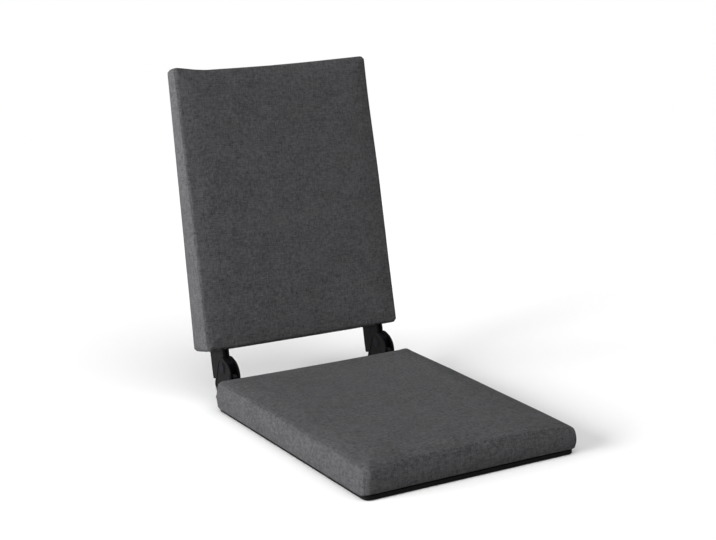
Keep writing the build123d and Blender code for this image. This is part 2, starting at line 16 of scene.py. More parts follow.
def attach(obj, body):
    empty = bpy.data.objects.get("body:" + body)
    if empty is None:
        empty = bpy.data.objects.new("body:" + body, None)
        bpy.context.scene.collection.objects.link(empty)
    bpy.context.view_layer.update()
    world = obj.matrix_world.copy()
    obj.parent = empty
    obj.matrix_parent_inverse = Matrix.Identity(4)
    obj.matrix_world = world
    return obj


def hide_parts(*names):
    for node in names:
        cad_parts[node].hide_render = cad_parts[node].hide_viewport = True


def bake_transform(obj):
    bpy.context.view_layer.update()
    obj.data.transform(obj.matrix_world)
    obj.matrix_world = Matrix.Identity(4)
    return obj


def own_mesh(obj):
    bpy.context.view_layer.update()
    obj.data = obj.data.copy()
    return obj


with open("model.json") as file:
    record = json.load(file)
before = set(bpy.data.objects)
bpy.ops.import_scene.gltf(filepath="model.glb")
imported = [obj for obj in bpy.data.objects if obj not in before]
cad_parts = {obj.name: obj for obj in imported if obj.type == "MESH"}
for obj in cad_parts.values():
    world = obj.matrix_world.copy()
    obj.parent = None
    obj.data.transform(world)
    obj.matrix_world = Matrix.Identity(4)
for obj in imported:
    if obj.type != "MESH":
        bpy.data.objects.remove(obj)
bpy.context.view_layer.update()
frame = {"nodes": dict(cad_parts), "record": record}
scene = bpy.context.scene
nodes = frame["nodes"]
MM = 0.001
TINY = 1e-12  # added to a length before it divides

# ------------------------------------------------------------------ sizes, in mm
# low and high are the heights of the seat's two faces
SEAT = {
    "half_width": 200.0, "start": -250.0, "end": 250.0, "low": 8.0, "high": 56.5,
    "corner": 12.0, "high_edge": 9.0, "low_edge": 4.0,
}
# the back is measured along its lean, and square to it, from the pivot line
BACK_TILT = math.radians(13.2)
PIVOT = (0.0, 286.0, 63.0)
BACK = {
    "half_width": 198.0, "start": 32.0, "end": 541.0,
    "front": 5.5, "low_rear": 60.5, "top_rear": 30.5,
    "corner": 8.0, "high_edge": 7.0, "low_edge": 6.0,
}
HINGE_X = 162.0
BOARD_GAP = 0.3  # between the seat pad and the base board
EDGE_STEPS = 4  # cells round a rim
PITCH = 6.0  # size of the other cells
START_INSET = 0.8  # the skin starts this far inside the cover, and swells out to it

# ------------------------------------------------------------------ forms, in mm, shares and powers
# a sewn line is drawn in by depth over width, and the painted shade along it reaches further by shade_reach
SEAM = {"depth": 0.7, "width": 1.6, "shade_reach": 1.6, "held": 0.9}
RIPPLE = {"length": 70.0, "height": 0.5}
# the cover's lower edge on the seat's long sides: its height, where its outer side and its inner side
# hang, measured out from the skin, and the length over which it runs out at the ends
SKIRT = {"edge_height": 6.0, "out": 1.4, "tuck": 1.0, "fade": 14.0}
# the seat's rear side, behind rear_start and facing the rear, stays flat in front of a hinge
RELIEF = {"half_width": 12.0, "fade": 18.0, "rear_start": 240.0, "facing": 0.9}
# the sides bulge, most at the height that bulge_bias gives, and more at the left rear and right front,
# where the corner also swells by right_front_out; they draw in at mid span, and the left one stands out;
# the crowned face rises at the right rear and sinks from fall_start, a place along, to the right front
SEAT_FORM = {
    "bulge": 3.6, "bulge_bias": 0.68, "bulge_fullness": 0.8, "corner_power": 6,
    "left_rear_more": 0.5, "right_front_more": 0.4, "right_front_out": 3.2, "right_front_bias": 0.45,
    "side_draw": 0.6, "end_draw": 0.8, "left_out": 1.2, "crown": 2.4, "crown_power": 3,
    "rear_rise": 1.3, "fall": 5.6, "fall_start": 0.4, "fall_power": 1.1, "corner_fall": 3.5,
}
# the back stands to the right by shift, its right side less so towards the top, and its left side leans in
BACK_FORM = {
    "bulge": 1.4, "bulge_bias": 1.0, "bulge_fullness": 0.8, "end_bulge": 0.6,
    "shift": 1.0, "right_out": 4.8, "right_top_in": 3.4, "right_top": 0.8, "left_start": -0.4,
    "crown": 2.2, "crown_power": 4,
}
# the back's upper edge sinks between left_start and left_end, and comes up again between fall_start and
# fall_end; start is the place along, from -1 to 1, from which the pad follows it upwards
TOP_SAG = {
    "depth": 7.6, "left_start": -208.0, "left_end": -128.0,
    "fall_start": -120.0, "fall_end": 200.0, "fall": 1.2, "power": 1.9, "start": -0.1,
}


def between(value, start, end):
    return (value - start) / (end - start)


def ease(share):
    """A smooth step from 0 to 1."""
    share = np.clip(share, 0, 1)
    return share * share * (3 - 2 * share)


def flat_top(u, power=3.0):
    """1 in the middle of a pad, falling to 0 at its sides."""
    return 1 - np.abs(u) ** power


# ------------------------------------------------------------------ pad meshes
def edge_lines(radius):
    """Distances from an edge that cut its rounding into equal turns."""
    turns = [math.radians(45) * (1 - k / EDGE_STEPS) for k in range(EDGE_STEPS + 1)]
    return [radius * (1 - math.tan(turn)) for turn in turns]


def lines(low, high, radius):
    """Places of the mesh's lines from low to high: close together at both rims, even between them."""
    near = edge_lines(radius)
    run = (high - near[-1]) - (low + near[-1])
    count = max(1, round(run / PITCH))
    middle = [low + near[-1] + run * k / count for k in range(1, count)]
    return np.array([low + d for d in near] + middle + [high - d for d in reversed(near)])


def box_skin(nx, ny, nz):
    """Grid places and quads of a box surface cut into nx, ny and nz cells."""
    index, keys, quads = {}, [], []

    def at(i, j, k):
        key = (i, j, k)
        if key not in index:
            index[key] = len(keys)
            keys.append(key)
        return index[key]

    for i in range(nx):
        for j in range(ny):
            quads.append((at(i, j, 0), at(i, j + 1, 0), at(i + 1, j + 1, 0), at(i + 1, j, 0)))
            quads.append((at(i, j, nz), at(i + 1, j, nz), at(i + 1, j + 1, nz), at(i, j + 1, nz)))
    for i in range(nx):
        for k in range(nz):
            quads.append((at(i, 0, k), at(i + 1, 0, k), at(i + 1, 0, k + 1), at(i, 0, k + 1)))
            quads.append((at(i, ny, k), at(i, ny, k + 1), at(i + 1, ny, k + 1), at(i + 1, ny, k)))
    for j in range(ny):
        for k in range(nz):
            quads.append((at(0, j, k), at(0, j, k + 1), at(0, j + 1, k + 1), at(0, j + 1, k)))
            quads.append((at(nx, j, k), at(nx, j + 1, k), at(nx, j + 1, k + 1), at(nx, j, k + 1)))
    return np.array(keys), quads


def pad_points(size, low_at, high_at):
    """A rounded box as points and quads, with what the shaping needs.

    low_at and high_at give the two faces' heights at a place along the pad. nx and ny are the outward
    direction in plan, u and v go from -1 to 1 across and along, tau from 0 to 1 with the height, and
    inset is the distance from the outline."""
    half = size["half_width"] - START_INSET
    start, end = size["start"] + START_INSET, size["end"] - START_INSET
    corner, high_edge, low_edge = size["corner"], size["high_edge"], size["low_edge"]
    xs, ys = lines(-half, half, high_edge), lines(start, end, high_edge)
    low_near, high_near = edge_lines(low_edge), edge_lines(high_edge)
    thick = max(high_at(start) - low_at(start), high_at(end) - low_at(end))
    middle = max(2, round((thick - low_edge - high_edge) / PITCH))
    nz = 2 * EDGE_STEPS + middle
    keys, quads = box_skin(len(xs) - 1, len(ys) - 1, nz)
    x, y, k = xs[keys[:, 0]], ys[keys[:, 1]], keys[:, 2]
    low, high = low_at(y), high_at(y)
    share = (k - EDGE_STEPS) / middle
    z = low + low_edge + share * (high - low - low_edge - high_edge)
    for step in range(EDGE_STEPS):
        z = np.where(k == step, low + low_near[step], z)
        z = np.where(k == nz - step, high - high_near[step], z)
    # plan corners
    centre, reach = (start + end) / 2, (end - start) / 2
    sx, sy = np.sign(x), np.sign(y - centre)
    ax, ay = np.abs(x), np.abs(y - centre)
    dx, dy = ax - (half - corner), ay - (reach - corner)
    in_corner = (dx > 0) & (dy > 0)
    most, length = np.maximum(dx, dy), np.hypot(dx, dy) + TINY
    inset = np.where(in_corner, corner - most, np.minimum(half - ax, reach - ay))
    nearer_x = (half - ax) < (reach - ay)
    nx = np.where(in_corner, dx / length, np.where(nearer_x, 1.0, 0.0)) * sx
    ny = np.where(in_corner, dy / length, np.where(nearer_x, 0.0, 1.0)) * sy
    ax = np.where(in_corner, half - corner + dx * most / length, ax)
    ay = np.where(in_corner, reach - corner + dy * most / length, ay)
    x, y = ax * sx, centre + ay * sy
    # rounded rims of the two faces
    for radius, height, way in ((high_edge, high, 1), (low_edge, low, -1)):
        gap = way * (height - z)
        near = (gap < radius) & (inset < radius)
        out = np.where(near, radius - np.minimum(inset, radius), 0)
        up = np.where(near, radius - gap, 0)
        scale = np.where(near, radius / (np.hypot(out, up) + TINY), 1)
        shift = np.where(near, out * scale - out, 0)
        x, y = x + nx * shift, y + ny * shift
        z = np.where(near, height - way * (radius - up * scale), z)
    return {
        "points": np.stack([x, y, z], axis=1), "quads": quads, "nx": nx, "ny": ny,
        "u": x / half, "v": (y - centre) / reach, "tau": np.clip(between(z, low, high), 0, 1),
        "inset": inset, "keys": keys, "counts": (len(xs) - 1, len(ys) - 1, nz),
    }


def ripple(points, seed):
    """Slow, small, repeatable unevenness for each point."""
    place = Vector((seed, 2.7 * seed, -1.3 * seed))
    return np.array(
        [RIPPLE["height"] * noise.noise(Vector(p) / RIPPLE["length"] + place) for p in points]
    )


def smooth(mesh):
    for polygon in mesh.polygons:
        polygon.use_smooth = True


def add_object(name, mesh):
    obj = bpy.data.objects.new(name, mesh)
    scene.collection.objects.link(obj)
    return obj


def mesh_object(name, points, quads, matrix):
    mesh = bpy.data.meshes.new(name)
    mesh.from_pydata([tuple(p) for p in np.asarray(points) * MM], [], quads)
    mesh.transform(matrix)
    mesh.update()
    smooth(mesh)
    return add_object(name, mesh)


def read_points(points, what="co"):
    values = np.zeros(len(points) * 3)
    points.foreach_get(what, values)
    return values.reshape(-1, 3)


def set_coords(obj, co):
    obj.data.vertices.foreach_set("co", np.asarray(co, float).ravel())
    obj.data.update()


def applied_mesh(obj):
    """A new mesh of the object with its modifiers applied; the modifiers are taken off."""
    graph = bpy.context.evaluated_depsgraph_get()
    mesh = bpy.data.meshes.new_from_object(obj.evaluated_get(graph), depsgraph=graph)
    obj.modifiers.clear()
    return mesh


def swell(obj, held, cap, frames=20):
    """Inflates the pad's skin as cloth, holds the given points, and keeps each point near its start.

    cap is the furthest that a point may move, in mm."""
    before = read_points(obj.data.vertices)
    group = obj.vertex_groups.new(name="held")
    for weight in sorted(set(held)):
        group.add([int(i) for i in np.nonzero(held == weight)[0]], float(weight), "REPLACE")
    cloth = obj.modifiers.new("skin", "CLOTH")
    settings = cloth.settings
    settings.quality = 6
    settings.mass = 0.25
    settings.tension_stiffness = 40
    settings.compression_stiffness = 40
    settings.shear_stiffness = 20
    settings.bending_stiffness = 2.0
    settings.use_pressure = True
    settings.uniform_pressure_force = 4.0
    settings.vertex_group_mass = "held"
    settings.pin_stiffness = 1.0
    settings.effector_weights.gravity = 0.0
    cloth.collision_settings.use_collision = False
    cloth.collision_settings.use_self_collision = False
    cloth.point_cache.frame_start = 1
    cloth.point_cache.frame_end = frames
    for step in range(1, frames + 1):
        scene.frame_set(step)
    moved = applied_mesh(obj)
    move = read_points(moved.vertices) - before
    bpy.data.meshes.remove(moved)
    scene.frame_set(1)
    size = np.linalg.norm(move, axis=1, keepdims=True) + TINY
    move *= cap * MM * np.tanh(size / (cap * MM)) / size
    set_coords(obj, before + move)
    obj.vertex_groups.clear()


def subdivide(obj):
    modifier = obj.modifiers.new("finer", "SUBSURF")
    modifier.levels = modifier.render_levels = 1
    obj.data = applied_mesh(obj)
    smooth(obj.data)


def sewn_points(pad):
    """True on the sewn lines: the rims of the two faces and the four upright corners."""
    nx, ny, nz = pad["counts"]
    i, j, k = pad["keys"].T
    on_x, on_y = (i == 0) | (i == nx), (j == 0) | (j == ny)
    return ((k == nz) & (on_x | on_y)) | ((k == 0) & (on_x | on_y)) | (on_x & on_y)


def sewn_when_finer(mesh, sewn):
    """The same after the mesh is made finer: its first points keep their numbers, and a point made on
    an edge between two sewn points is sewn too."""
    on = np.zeros(len(mesh.vertices), bool)
    on[: len(sewn)] = sewn
    sewn_ends = {}
    for a, b in (edge.vertices for edge in mesh.edges):
        for new, first in ((a, b), (b, a)):
            if new >= len(sewn) and first < len(sewn) and sewn[first]:
                sewn_ends[new] = sewn_ends.get(new, 0) + 1
    for new, count in sewn_ends.items():
        if count == 2:
            on[new] = True
    return on


def sew(obj, sewn):
    """Draws the skin in along the sewn lines, and writes their nearness, with which the cloth's colour is
    darkened as painted shade in the seams.
    """
    mesh = obj.data
    co = read_points(mesh.vertices)
    normals = read_points(mesh.vertices, "normal")
    line = co[sewn_when_finer(mesh, sewn)]
    tree = KDTree(len(line))
    for number, point in enumerate(line):
        tree.insert(Vector(point), number)
    tree.balance()
    far = np.array([tree.find(Vector(p))[2] for p in co]) / MM
    co -= normals * (SEAM["depth"] * MM * np.exp(-((far / SEAM["width"]) ** 2)))[:, None]
    set_coords(obj, co)
    # nearness to a sewn line, kept for the painted shade in the seam's groove
    seam = mesh.attributes.new("seam", "FLOAT", "POINT")
    painted_shade = np.exp(-((far / (SEAM["shade_reach"] * SEAM["width"])) ** 2))
    seam.data.foreach_set("value", painted_shade.astype(np.float32))


def make_pad(name, size, shape, low_at, high_at, cap, matrix, cloth, body, replaced, seed):
    """One upholstered pad: a shaped skin, swollen as cloth, made finer and sewn."""
    pad = pad_points(size, low_at, high_at)
    points = shape(pad)
    upper_half = np.clip(pad["tau"] * 2 - 1, 0, 1)
    points[:, 2] += ripple(points, seed) * upper_half
    obj = mesh_object(name, points, pad["quads"], matrix)
    sewn = sewn_points(pad)
    under = pad["keys"][:, 2] == 0
    swell(obj, np.where(under, 1.0, np.where(sewn, SEAM["held"], 0.0)), cap)
    subdivide(obj)
    sew(obj, sewn)
    obj.data.materials.append(cloth)
    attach(obj, body)
    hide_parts(*replaced)
    return obj


# ------------------------------------------------------------------ shaping of the two pads
def side_bulge(pad, size, form):
    """How far a pad's sides stand out at each point."""
    height = np.sin(math.pi * pad["tau"] ** form["bulge_bias"])
    return form["bulge"] * height ** form["bulge_fullness"] * (pad["inset"] < size["corner"])


def near_corner(across, along):
    """1 at the corner where both go to 1, falling quickly away from it."""
    power = SEAT_FORM["corner_power"]
    return np.clip(across, 0, 1) ** power * np.clip(along, 0, 1) ** power


def hinge_relief(x):
    """1 where the seat's rear side lies in front of a hinge, falling to 0 beside it."""
    beside = np.abs(np.abs(x) - HINGE_X) - RELIEF["half_width"]
    return 1 - ease(beside / RELIEF["fade"])


def side_skirt(pad, x, y, z):
    """Draws the cover's lower edge down over the base board's two long sides."""
    nx, _, _ = pad["counts"]
    i, _, k = pad["keys"].T
    half, top = SEAT["half_width"] - START_INSET, SEAT["low"] + SEAT["low_edge"]
    along = ease((SEAT["end"] - np.abs(y)) / SKIRT["fade"])
    share = np.clip(1 - k / EDGE_STEPS, 0, 1)
    wall = ((i == 0) | (i == nx)) * (share > 0) * along
    wall_x = np.sign(x) * (half + SKIRT["out"] * np.sin(math.pi * share / 2))
    wall_z = top - share * (top - SKIRT["edge_height"])
    x, z = x + wall * (wall_x - x), z + wall * (wall_z - z)
    tuck = ((i == 1) | (i == nx - 1)) * (k == 0) * along
    return x + tuck * (np.sign(x) * (half + SKIRT["tuck"]) - x), z


def seat_shape(pad):
    """The seat's skin before it swells."""
    form = SEAT_FORM
    x, y, z = pad["points"].T
    u, v, tau = pad["u"], pad["v"], pad["tau"]
    x, z = side_skirt(pad, x, y, z)
    outside = pad["inset"] < SEAT["corner"]
    left_rear, right_front = near_corner(-u, v), near_corner(u, -v)
    bulge = side_bulge(pad, SEAT, form)
    rear_side = (y > RELIEF["rear_start"]) & (np.abs(pad["ny"]) > RELIEF["facing"])
    bulge = bulge * np.where(rear_side, 1 - hinge_relief(x), 1)
    bulge = bulge * (1 + form["left_rear_more"] * left_rear + form["right_front_more"] * right_front)
    corner_height = np.sin(math.pi * tau ** form["right_front_bias"])
    bulge = bulge + form["right_front_out"] * right_front * corner_height * outside
    x = x + pad["nx"] * bulge - form["side_draw"] * u * flat_top(v, 2)
    y = y + pad["ny"] * bulge - form["end_draw"] * v * flat_top(u, 2)
    x = x - form["left_out"] * np.clip(-u, 0, 1) ** 3 * outside
    crown = form["crown"] * flat_top(u) * flat_top(v)
    right = np.clip(u, 0, 1) ** 3
    rise = form["rear_rise"] * np.clip(v, 0, 1) ** 2
    fall = np.clip(form["fall_start"] - v, 0, form["fall_start"] + 1) ** form["fall_power"]
    settle = right * (rise - form["fall"] * fall) - form["corner_fall"] * right_front
    z = z + (crown + settle) * tau ** form["crown_power"]
    return np.stack([x, y, z], axis=1)


def top_sag(x):
    """How far the back's upper edge sinks: deepest left of the middle, and running out at the right."""
    rise = ease(between(x, TOP_SAG["left_start"], TOP_SAG["left_end"]))
    along = np.clip(between(x, TOP_SAG["fall_start"], TOP_SAG["fall_end"]), 0, 1)
    return TOP_SAG["depth"] * rise * (1 - TOP_SAG["fall"] * along ** TOP_SAG["power"])


def back_shape(pad):
    """The back's skin before it swells."""
    form = BACK_FORM
    x, y, z = pad["points"].T
    u, v, tau = pad["u"], pad["v"], pad["tau"]
    bulge = side_bulge(pad, BACK, form)
    sag = top_sag(x) * np.clip(between(v, TOP_SAG["start"], 1), 0, 1) ** 2
    right_out = form["right_out"] - form["right_top_in"] * ease(v / form["right_top"])
    right = np.clip(u, 0, 1) ** 2 * right_out
    left = np.clip(-u, 0, 1) * np.maximum(v - form["left_start"], 0)
    x = x + form["shift"] + pad["nx"] * bulge + right + left
    y = y + pad["ny"] * bulge * form["end_bulge"] - sag
    z = z + form["crown"] * flat_top(u) * flat_top(v) * tau ** form["crown_power"]
    return np.stack([x, y, z], axis=1)


# ------------------------------------------------------------------ nodes
COLOUR_A, COLOUR_B, COLOUR_RESULT = 6, 7, 2  # a Mix node's sockets for colours
NOISE_RANGE = (0.3, 0.7)  # where most of a noise's values lie


class Nodes:
    """A node tree with short calls for its nodes."""

    def __init__(self, tree, output):
        tree.nodes.clear()
        self.tree = tree
        self.output = tree.nodes.new(output)

    def feed(self, socket, value):
        if isinstance(value, bpy.types.NodeSocket):
            self.tree.links.new(value, socket)
        elif value is not None:
            if isinstance(value, tuple) and len(value) == 3 and len(socket.default_value) == 4:
                value = (*value, 1.0)
            socket.default_value = value

    def add(self, kind, inputs=(), out=0, **settings):
        node = self.tree.nodes.new("ShaderNode" + kind)
        for key, value in settings.items():
            setattr(node, key, value)
        pairs = inputs.items() if isinstance(inputs, dict) else enumerate(inputs)
        for key, value in pairs:
            self.feed(node.inputs[key], value)
        return node.outputs[out]

    def math(self, operation, a, b=0.5, **settings):
        return self.add("Math", (a, b), operation=operation, **settings)

    def ramp(self, value, low, high, to_low=0.0, to_high=1.0):
        return self.add("MapRange", (value, low, high, to_low, to_high))

    def spread(self, value, to_low=0.0, to_high=1.0):
        """A noise's usual range, stretched to the given one."""
        return self.ramp(value, *NOISE_RANGE, to_low, to_high)

    def either(self, share, a, b):
        return self.add("Mix", {"Factor": share, "A": a, "B": b}, data_type="FLOAT")

    def mix(self, share, a, b):
        inputs = {"Factor": share, COLOUR_A: a, COLOUR_B: b}
        return self.add("Mix", inputs, out=COLOUR_RESULT, data_type="RGBA")

    def split(self, vector):
        return [self.add("SeparateXYZ", (vector,), out=i) for i in range(3)]

    def wave(self, value, length):
        """A sine that turns once over length."""
        return self.math("SINE", self.math("MULTIPLY", value, 2 * math.pi / length))

    def seen(self):
        """1 for a ray from the camera, or one that shows the background in gloss or through glass."""
        rays = self.tree.nodes.new("ShaderNodeLightPath").outputs
        seen = rays["Is Camera Ray"]
        for kind in ("Is Glossy Ray", "Is Transmission Ray"):
            seen = self.math("ADD", seen, rays[kind], use_clamp=True)
        return seen


class Paint(Nodes):
    """A material with one Principled shader."""

    def __init__(self, name):
        self.material = bpy.data.materials.new(name)
        self.material.use_nodes = True
        super().__init__(self.material.node_tree, "ShaderNodeOutputMaterial")
        self.bsdf = self.tree.nodes.new("ShaderNodeBsdfPrincipled")
        self.feed(self.output.inputs[0], self.bsdf.outputs[0])
        coordinates = self.tree.nodes.new("ShaderNodeTexCoord").outputs
        self.place, self.facing = coordinates["Object"], coordinates["Normal"]

    def noise(self, scale, detail=2.0, roughness=0.5, place=None):
        inputs = {
            "Vector": place or self.place, "Scale": scale, "Detail": detail, "Roughness": roughness,
        }
        return self.add("TexNoise", inputs)

    def cells(self, scale):
        return self.add("TexVoronoi", {"Vector": self.place, "Scale": scale})

    def stretch(self, factors):
        return self.add("Mapping", {"Vector": self.place, "Scale": factors})

    def bump(self, height, distance, strength=1.0, normal=None):
        inputs = {"Height": height, "Distance": distance, "Strength": strength, "Normal": normal}
        return self.add("Bump", inputs)

    def set(self, **values):
        for key, value in values.items():
            self.feed(self.bsdf.inputs[key.replace("_", " ")], value)
        return self.material


def scaled(colour, times, plus=0.0):
    return tuple(times * c + plus for c in colour)


# ------------------------------------------------------------------ materials
# the cloth: lengths in metres, and how much each pattern lightens and darkens its colour, with seam the
# painted shade along the sewn lines
CLOTH = (0.0690, 0.0690, 0.0720)
BLACK = (0.0, 0.0, 0.0)
YARN = 0.00085
YARN_UNDER = 0.55  # how high a yarn stands where another crosses over it
WANDER = 0.9  # how far a yarn strays from its straight line, in yarns
SLUB_LENGTH = 0.011
SLUB_STEP = 7.13  # moves each yarn to another place in the noise, so that no two have the same slubs
WARP_SEED, WEFT_SEED = 3.1, 9.7
TONES = {
    "mottle": 0.22, "clouds": 0.07, "slubs": 0.42, "fibres": 0.15, "weave": (-0.34, 0.2),
    "seam": 0.15,
}
FIBRE_BUMP = 0.35


def upholstery(name, lean, painted_shade):
    """Flat woven charcoal cloth, its yarns square to a pad that leans back by the given angle.
    painted_shade scales its colour: each pad has its own copy, with the light that falls on that pad
    painted into it.
    """
    p = Paint(name)
    place, facing = (
        p.split(p.add("VectorRotate", {"Vector": way, "Axis": (1.0, 0.0, 0.0), "Angle": lean}))
        for way in (p.place, p.facing)
    )
    x, y, z = place
    nx, ny, nz = (p.math("ABSOLUTE", way) for way in facing)
    on_x = p.math("MULTIPLY", p.math("GREATER_THAN", nx, ny), p.math("GREATER_THAN", nx, nz))
    on_z = p.math("MULTIPLY", p.math("GREATER_THAN", nz, ny), p.math("GREATER_THAN", nz, nx))
    across, along = p.either(on_x, x, y), p.either(on_z, z, y)
    # numbers of the yarns, and which one is on top
    wander = p.math("MULTIPLY", p.noise(scale=60.0), WANDER)
    cu = p.math("ADD", p.math("DIVIDE", across, YARN), wander)
    cv = p.math("ADD", p.math("DIVIDE", along, YARN), wander)
    number_u, number_v = p.math("FLOOR", cu), p.math("FLOOR", cv)
    over = p.math("MODULO", p.math("ADD", number_u, number_v), 2.0)
    over = p.math("GREATER_THAN", p.math("ABSOLUTE", over), 0.5)
    ridge_u, ridge_v = (
        p.math("ABSOLUTE", p.math("SINE", p.math("MULTIPLY", c, math.pi))) for c in (cu, cv)
    )
    warp = p.math("MULTIPLY", ridge_u, p.ramp(ridge_v, 0, 1, YARN_UNDER, 1.0))
    weft = p.math("MULTIPLY", ridge_v, p.ramp(ridge_u, 0, 1, YARN_UNDER, 1.0))
    weave = p.either(over, warp, weft)
    warp_yarn = p.add("CombineXYZ", (
        p.math("MULTIPLY", number_u, SLUB_STEP), p.math("DIVIDE", along, SLUB_LENGTH), WARP_SEED,
    ))
    weft_yarn = p.add("CombineXYZ", (
        p.math("DIVIDE", across, SLUB_LENGTH), p.math("MULTIPLY", number_v, SLUB_STEP), WEFT_SEED,
    ))
    slubs = p.either(over, *(
        p.noise(scale=1.0, detail=1.0, place=yarn) for yarn in (warp_yarn, weft_yarn)
    ))
    fibres = p.noise(scale=2600.0, roughness=0.6)
    mottle = p.noise(scale=200.0, detail=3.0, roughness=0.62)
    clouds = p.noise(scale=24.0, detail=3.0, roughness=0.55)
    tone = p.spread(mottle, -TONES["mottle"], TONES["mottle"])
    for part in (
        p.spread(clouds, -TONES["clouds"], TONES["clouds"]),
        p.spread(slubs, -TONES["slubs"], TONES["slubs"]),
        p.ramp(weave, 0.0, 1.0, *TONES["weave"]),
        p.spread(fibres, -TONES["fibres"], TONES["fibres"]),
    ):
        tone = p.math("ADD", tone, part)
    # painted shade along the sewn lines darkens the cloth there
    seam = p.add("Attribute", attribute_name="seam", out=2)
    tone = p.math("SUBTRACT", tone, p.math("MULTIPLY", seam, TONES["seam"]))
    # a tone of 0 is the cloth's colour times the painted shade, -1 is black and 1 is twice as light
    colour = p.mix(p.ramp(tone, -1.0, 1.0), BLACK, scaled(CLOTH, 2 * painted_shade))
    normal = p.bump(p.noise(scale=45.0), distance=0.0006, strength=0.35)
    normal = p.bump(mottle, distance=0.00035, strength=0.5, normal=normal)
    threads = p.math("ADD", weave, p.math("MULTIPLY", fibres, FIBRE_BUMP))
    normal = p.bump(threads, distance=0.00022, strength=0.6, normal=normal)
    return p.set(
        Base_Color=colour, Roughness=p.ramp(weave, 0, 1, 0.97, 0.82), Normal=normal,
        Sheen_Weight=0.03, Sheen_Roughness=0.5, Specular_IOR_Level=0.04,
    )


def coated_steel(name, colour, rough, peel, shine):
    """Powder coat: a fine orange peel, light patches of dust and thin bright rubs."""
    p = Paint(name)
    skin = p.noise(scale=1500.0)
    patches = p.noise(scale=35.0, detail=4.0, roughness=0.6)
    scuffs = p.noise(scale=90.0, detail=6.0, roughness=0.75, place=p.stretch((1.0, 3.0, 0.6)))
    share = p.math(
        "ADD", p.ramp(patches, 0.35, 0.75, to_high=0.5), p.ramp(scuffs, 0.62, 0.72, to_high=0.35)
    )
    roughness = p.math(
        "ADD", p.spread(patches, rough - 0.05, rough + 0.06), p.ramp(scuffs, 0.6, 0.75, to_high=0.1)
    )
    return p.set(
        Base_Color=p.mix(share, colour, scaled(colour, 1.8, plus=0.004)), Roughness=roughness,
        Normal=p.bump(skin, peel, strength=0.5), Specular_IOR_Level=shine,
    )


def turned_steel(name, colour, rough, metal, shine=0.5):
    """Steel with fine tool marks and blued patches."""
    p = Paint(name)
    marks = p.noise(scale=900.0, detail=3.0, roughness=0.6, place=p.stretch((6.0, 1.0, 1.0)))
    patches = p.noise(scale=60.0, detail=4.0, roughness=0.6)
    blued = (colour[0] * 0.8, colour[1] * 0.9, colour[2] * 1.25)
    roughness = p.math(
        "ADD", p.spread(marks, rough - 0.08, rough + 0.08), p.spread(patches, to_high=0.06)
    )
    return p.set(
        Base_Color=p.mix(p.spread(patches), colour, blued), Metallic=metal, Roughness=roughness,
        Normal=p.bump(marks, distance=0.00004, strength=0.5), Specular_IOR_Level=shine,
    )


def plywood(name, light, dark, two_plies):
    """Birch plywood: grain along Y on its faces, and the plies' bands on its edges."""
    p = Paint(name)
    grain = p.noise(scale=26.0, detail=6.0, roughness=0.6, place=p.stretch((14.0, 1.0, 14.0)))
    pores = p.noise(scale=420.0, roughness=0.6, place=p.stretch((3.0, 0.25, 3.0)))
    plies = p.math("GREATER_THAN", p.wave(p.split(p.place)[2], two_plies), 0.0)
    on_edge = p.math("LESS_THAN", p.math("ABSOLUTE", p.split(p.facing)[2]), 0.6)
    bands = p.math("MULTIPLY", p.math("MULTIPLY", plies, on_edge), 0.4)
    share = p.math("ADD", p.spread(grain, to_high=0.7), bands)
    return p.set(
        Base_Color=p.mix(share, light, dark), Roughness=p.spread(pores, 0.62, 0.8),
        Normal=p.bump(p.math("ADD", grain, pores), distance=0.00012, strength=0.5),
    )


def soft_filling(name, colour, scale):
    """Foam or wadding: small cells, their hollows painted darker as shade."""
    p = Paint(name)
    cells = p.cells(scale)
    return p.set(
        Base_Color=p.mix(p.ramp(cells, 0.1, 0.7), scaled(colour, 0.7), colour), Roughness=0.95,
        Normal=p.bump(cells, distance=0.0005, strength=0.8), Sheen_Weight=0.1,
    )


def moulded(name, colour, rough, grain_scale, grain_depth, shine=0.3):
    """Black board or plastic: a fine even grain and light scuffs."""
    p = Paint(name)
    grain = p.cells(grain_scale)
    patches = p.noise(scale=30.0, detail=4.0, roughness=0.6)
    scuffs = p.noise(scale=140.0, detail=5.0, roughness=0.7, place=p.stretch((1.0, 0.5, 4.0)))
    share = p.math(
        "ADD", p.ramp(patches, 0.35, 0.75, to_high=0.4), p.ramp(scuffs, 0.6, 0.72, to_high=0.4)
    )
    return p.set(
        Base_Color=p.mix(share, colour, scaled(colour, 2.0, plus=0.001)),
        Roughness=p.ramp(grain, 0.0, 0.8, rough + 0.08, rough - 0.08),
        Normal=p.bump(grain, grain_depth, strength=0.6), Specular_IOR_Level=shine,
    )


def ribbed_rubber(name, colour, dusty, stud_pitch, shine):
    """Non-slip sheet: small raised diamonds."""
    p = Paint(name)
    x, y, _ = p.split(p.place)
    rising, falling = (
        p.ramp(p.wave(p.math(way, x, y), stud_pitch), -0.2, 0.6) for way in ("ADD", "SUBTRACT")
    )
    dust = p.noise(scale=50.0, detail=5.0, roughness=0.65)
    return p.set(
        Base_Color=p.mix(p.ramp(dust, 0.4, 0.8, to_high=0.5), colour, dusty),
        Roughness=p.spread(dust, 0.78, 0.92), Specular_IOR_Level=shine,
        Normal=p.bump(p.math("MULTIPLY", rising, falling), distance=0.0004, strength=0.8),
    )


